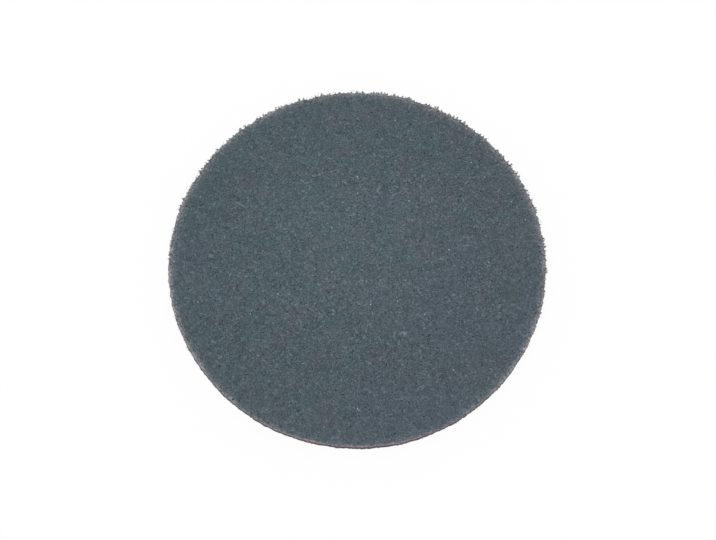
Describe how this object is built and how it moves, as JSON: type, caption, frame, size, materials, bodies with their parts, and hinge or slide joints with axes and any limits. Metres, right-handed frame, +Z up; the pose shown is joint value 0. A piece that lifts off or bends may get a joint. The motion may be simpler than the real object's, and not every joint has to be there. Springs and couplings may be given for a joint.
{
  "type": "floor machine pad",
  "caption": "Round non-woven scrubbing pad with flat faces and a frayed die-cut rim, held under the driver of a rotary floor machine.",
  "frame": {"origin": "middle of the face that the pad lies on, at the bottom", "axes": "+Z up through the pad's thickness, towards the driver; the pad is round, so +X and +Y are any two directions across it"},
  "size_m": [0.4355, 0.4368, 0.025],
  "materials": {
    "fibre_web": "matte"
  },
  "bodies": {
    "root": {"pad_disc": "fibre_web"}
  },
  "joints": []
}
